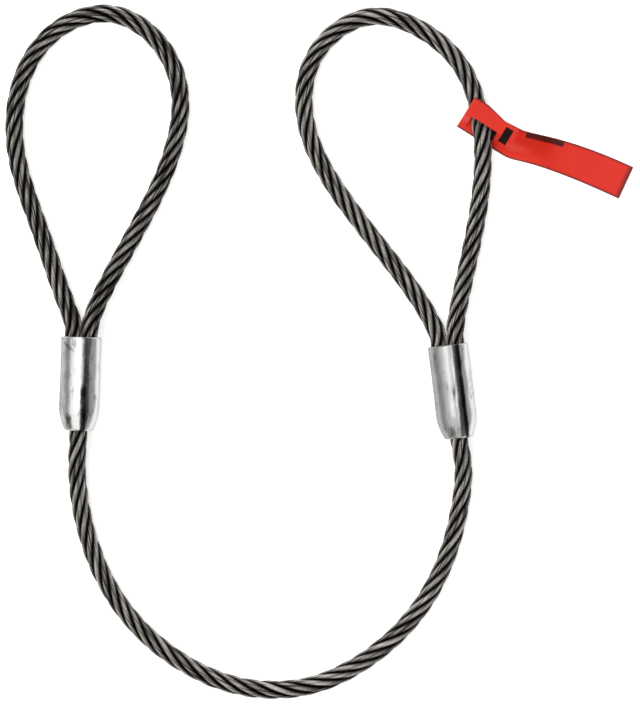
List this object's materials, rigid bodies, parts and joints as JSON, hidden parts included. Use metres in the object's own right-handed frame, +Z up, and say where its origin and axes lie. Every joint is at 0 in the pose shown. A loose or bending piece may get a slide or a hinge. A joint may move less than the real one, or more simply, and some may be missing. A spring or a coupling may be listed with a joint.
{
  "type": "wire rope sling",
  "caption": "Wire rope sling bent into a U: a right-hand laid rope with a pressed steel sleeve and a soft teardrop eye at each end, and a plastic tag on one eye.",
  "frame": {"origin": "on the surface that the sling lies on, under the middle of its outline", "axes": "+Y from the bend towards the two eyes, +X towards the eye with the tag, +Z up from the surface"},
  "size_m": [0.3794, 0.4193, 0.0248],
  "materials": {
    "strand_steel": "oiled dark bright-steel wire, dark grooves with grey highlights",
    "core_steel": "greased dark steel wire",
    "sleeve_steel": "bright pressed steel with die marks and scuffs",
    "tag_plastic": "satin orange-red flexible plastic"
  },
  "bodies": {
    "left_half": {"left_sleeve": "sleeve_steel", "left_body_strand_1": "strand_steel", "left_body_strand_2": "strand_steel", "left_body_strand_3": "strand_steel", "left_body_strand_4": "strand_steel", "left_body_strand_5": "strand_steel", "left_body_strand_6": "strand_steel", "left_body_core": "core_steel"},
    "left_eye": {"left_eye_strand_1": "strand_steel", "left_eye_strand_2": "strand_steel", "left_eye_strand_3": "strand_steel", "left_eye_strand_4": "strand_steel", "left_eye_strand_5": "strand_steel", "left_eye_strand_6": "strand_steel", "left_eye_core": "core_steel"},
    "right_half": {"right_sleeve": "sleeve_steel", "right_body_strand_1": "strand_steel", "right_body_strand_2": "strand_steel", "right_body_strand_3": "strand_steel", "right_body_strand_4": "strand_steel", "right_body_strand_5": "strand_steel", "right_body_strand_6": "strand_steel", "right_body_core": "core_steel"},
    "right_eye": {"right_eye_strand_1": "strand_steel", "right_eye_strand_2": "strand_steel", "right_eye_strand_3": "strand_steel", "right_eye_strand_4": "strand_steel", "right_eye_strand_5": "strand_steel", "right_eye_strand_6": "strand_steel", "right_eye_core": "core_steel"},
    "tag_head": {"tag_loop": "tag_plastic"},
    "tag_tail": {"tag_blade": "tag_plastic"}
  },
  "joints": [
    {"name": "left_eye_flex", "type": "hinge", "parent": "left_half", "child": "left_eye", "pos_m": [-0.1436, 0.0089, 0.0124], "axis": [0.9995, -0.0314, 0], "range_deg": [0, 40], "stiffness_Nm_per_rad": 12, "deforming": ["left_eye_strand_1", "left_eye_strand_2", "left_eye_strand_3", "left_eye_strand_4", "left_eye_strand_5", "left_eye_strand_6", "left_eye_core"]},
    {"name": "body_spread", "type": "hinge", "parent": "left_half", "child": "right_half", "pos_m": [-0.0315, -0.2042, 0.00555], "axis": [0, 0, -1], "range_deg": [-8, 30], "stiffness_Nm_per_rad": 4, "deforming": ["left_body_strand_1", "left_body_strand_2", "left_body_strand_3", "left_body_strand_4", "left_body_strand_5", "left_body_strand_6", "left_body_core", "right_body_strand_1", "right_body_strand_2", "right_body_strand_3", "right_body_strand_4", "right_body_strand_5", "right_body_strand_6", "right_body_core"]},
    {"name": "right_eye_flex", "type": "hinge", "parent": "right_half", "child": "right_eye", "pos_m": [0.0772, 0.004, 0.0124], "axis": [0.9928, 0.1201, 0], "range_deg": [0, 40], "stiffness_Nm_per_rad": 12, "deforming": ["right_eye_strand_1", "right_eye_strand_2", "right_eye_strand_3", "right_eye_strand_4", "right_eye_strand_5", "right_eye_strand_6", "right_eye_core"]},
    {"name": "tag_slide", "type": "slide", "parent": "right_eye", "child": "tag_head", "axis": [-0.1305, 0.9914, 0], "range_m": [-0.008, 0.008]},
    {"name": "tag_flex", "type": "hinge", "parent": "tag_head", "child": "tag_tail", "pos_m": [0.11559, 0.12661, 0.0067], "axis": [-0.5299, -0.848, 0], "range_deg": [0, 60], "stiffness_Nm_per_rad": 0.01, "deforming": ["tag_blade"]}
  ]
}
